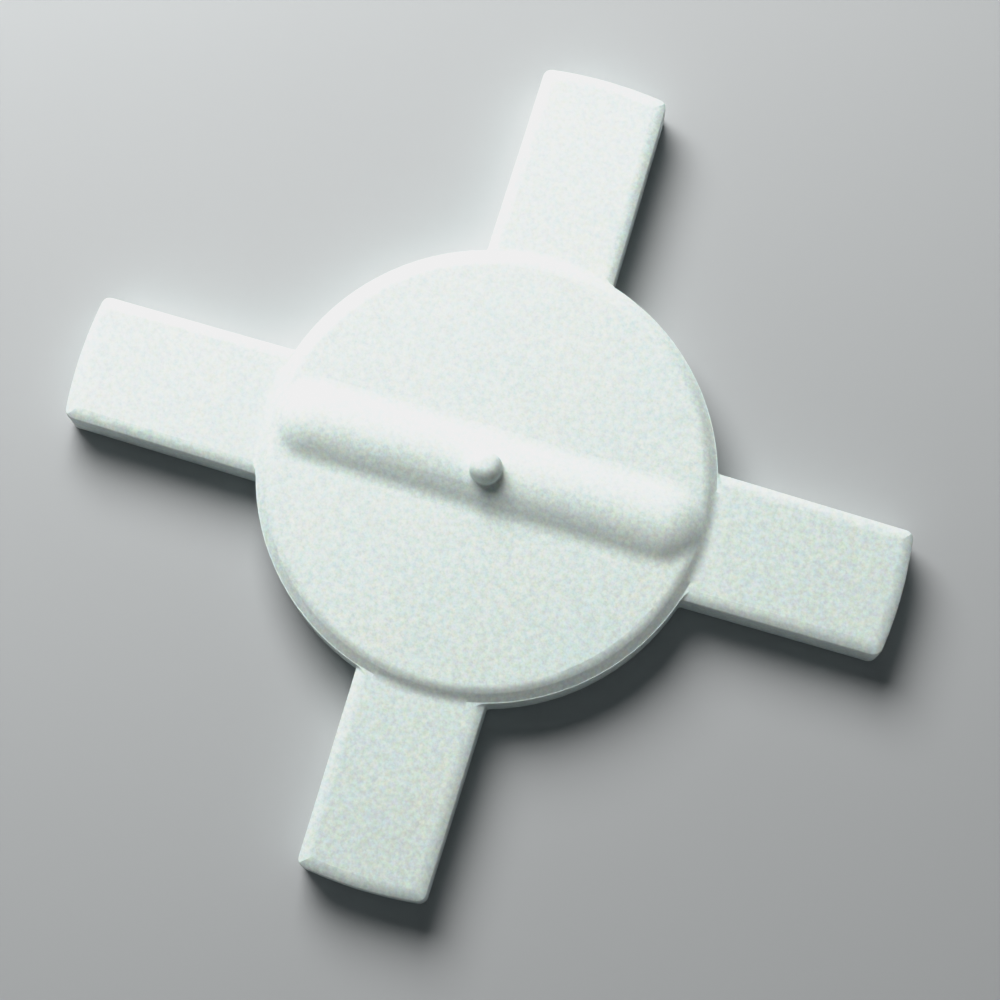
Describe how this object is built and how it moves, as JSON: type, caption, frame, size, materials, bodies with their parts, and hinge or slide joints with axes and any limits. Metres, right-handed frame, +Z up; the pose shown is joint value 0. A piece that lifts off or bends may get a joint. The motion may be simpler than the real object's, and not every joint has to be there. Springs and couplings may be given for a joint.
{
  "type": "magnetic stir bar",
  "caption": "Flat white magnetic stir bar: a round disc with flat arms at right angles, a low ridge over the rod magnet sealed inside, and a small domed pip at the middle.",
  "frame": {"origin": "centre of the flat underside, on the axis of the disc and the pip", "axes": "+Z up through the pip, out of the face that carries the ridge; X along the ridge, the magnet and one pair of arms; Y along the other pair"},
  "size_m": [0.0548, 0.0548, 0.0063],
  "materials": {
    "white_moulding": "satin, slightly waxy white fluoropolymer",
    "magnet_metal": "ground grey magnet alloy"
  },
  "bodies": {
    "root": {"moulded_body": "white_moulding", "bar_magnet": "magnet_metal"}
  },
  "joints": []
}
